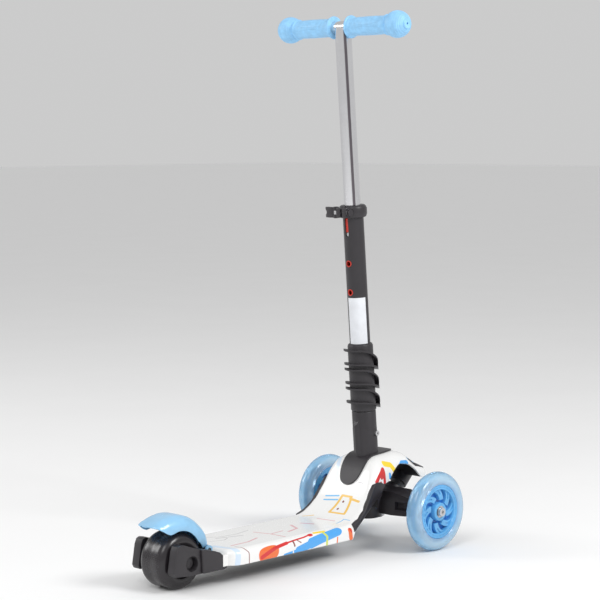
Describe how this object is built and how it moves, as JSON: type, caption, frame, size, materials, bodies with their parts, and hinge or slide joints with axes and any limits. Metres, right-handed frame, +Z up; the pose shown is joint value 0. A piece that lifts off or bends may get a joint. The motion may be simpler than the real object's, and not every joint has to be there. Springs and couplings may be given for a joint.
{
  "type": "kick scooter",
  "caption": "Children's lean-to-steer kick scooter with a moulded deck, height-adjustable T-bar stem, clear front wheels and a rear fender brake.",
  "frame": {"origin": "centre of the footprint on the floor, under the middle of the bounding box", "axes": "+X forward, +Y to the rider's left, +Z up; the wheels stand on Z = 0"},
  "size_m": [0.5635, 0.256, 0.808],
  "materials": {
    "white_shell": "glossy moulded",
    "black_plastic": "satin moulded",
    "black_metal": "satin powder coat",
    "chrome": "bright",
    "steel": "zinc plated",
    "red_plastic": "moulded",
    "label": "blank film",
    "bushing_rubber": "elastomer",
    "blue_shell": "glossy moulded",
    "blue_grip": "soft moulded",
    "blue_hub": "glossy moulded",
    "light_ring": "clear deep blue",
    "clear_blue_tyre": "clear tinted",
    "black_tyre": "smooth solid"
  },
  "bodies": {
    "deck": {"deck_shell": "white_shell", "chassis_tray": "black_plastic", "chassis_slope": "black_plastic", "chassis_nose": "black_plastic", "rear_fork": "black_plastic", "base_plate": "black_plastic", "stem_socket": "black_plastic", "socket_bolt": "steel", "socket_nut": "steel", "lower_tube": "black_metal", "tube_liner": "red_plastic", "height_grommets": "red_plastic", "seat_bracket_sleeve": "black_plastic", "blank_label": "label", "clamp_collar": "black_plastic", "clamp_skewer": "steel", "clamp_nut": "black_plastic", "lever_pin": "steel", "kingpin_bolt": "steel", "kingpin_dome_nut": "steel", "kingpin_washer": "steel", "kingpin_bushings": "bushing_rubber", "deck_screws": "steel", "rear_axle_bolt": "steel", "rear_axle_nut": "steel", "rear_axle_spacers": "steel", "fender_hinge_pin": "black_plastic", "fender_spring": "steel"},
    "lever": {"clamp_lever": "black_plastic"},
    "fender": {"rear_fender": "blue_shell"},
    "rear_wheel": {"rear_tyre": "black_tyre", "rear_hub": "black_plastic", "rear_bearings": "steel", "rear_bearing_sleeve": "steel"},
    "truck": {"truck_beam": "black_plastic", "front_axle_bolts": "steel", "front_axle_washers": "steel", "front_axle_spacers": "steel"},
    "front_wheel_left": {"front_tyre_left": "clear_blue_tyre", "front_hub_left": "blue_hub", "light_ring_left": "light_ring", "front_bearings_left": "steel", "bearing_sleeve_left": "steel"},
    "front_wheel_right": {"front_tyre_right": "clear_blue_tyre", "front_hub_right": "blue_hub", "light_ring_right": "light_ring", "front_bearings_right": "steel", "bearing_sleeve_right": "steel"},
    "handlebar": {"upper_tube": "chrome", "crossbar": "chrome", "grip_left": "blue_grip", "grip_right": "blue_grip", "tube_end_plug": "black_plastic", "button_spring": "steel"},
    "button": {"snap_button": "steel"}
  },
  "joints": [
    {"name": "lean_steer", "type": "hinge", "parent": "deck", "child": "truck", "pos_m": [0.208, 0, 0.044], "axis": [0.7071, 0, 0.7071], "range_deg": [-10, 10], "stiffness_Nm_per_rad": 60},
    {"name": "front_left_spin", "type": "hinge", "parent": "truck", "child": "front_wheel_left", "pos_m": [0.205, 0.113, 0.06], "axis": [0, 1, 0], "continuous": true},
    {"name": "front_right_spin", "type": "hinge", "parent": "truck", "child": "front_wheel_right", "pos_m": [0.205, -0.113, 0.06], "axis": [0, 1, 0], "continuous": true},
    {"name": "rear_spin", "type": "hinge", "parent": "deck", "child": "rear_wheel", "pos_m": [-0.229, 0, 0.04], "axis": [0, 1, 0], "continuous": true},
    {"name": "brake_press", "type": "hinge", "parent": "deck", "child": "fender", "pos_m": [-0.181, 0, 0.05], "axis": [0, 1, 0], "range_deg": [-2.2, 0], "stiffness_Nm_per_rad": 4},
    {"name": "height_slide", "type": "slide", "parent": "deck", "child": "handlebar", "axis": [-0.0795, 0, 0.9968], "range_m": [-0.088, 0]},
    {"name": "button_press", "type": "slide", "parent": "handlebar", "child": "button", "axis": [0.9968, 0, 0.0795], "range_m": [0, 0.0025], "stiffness_N_per_m": 400},
    {"name": "lever_swing", "type": "hinge", "parent": "deck", "child": "lever", "pos_m": [0.12291, 0.015, 0.51152], "axis": [-0.0795, 0, 0.9968], "range_deg": [-56, 30]}
  ]
}
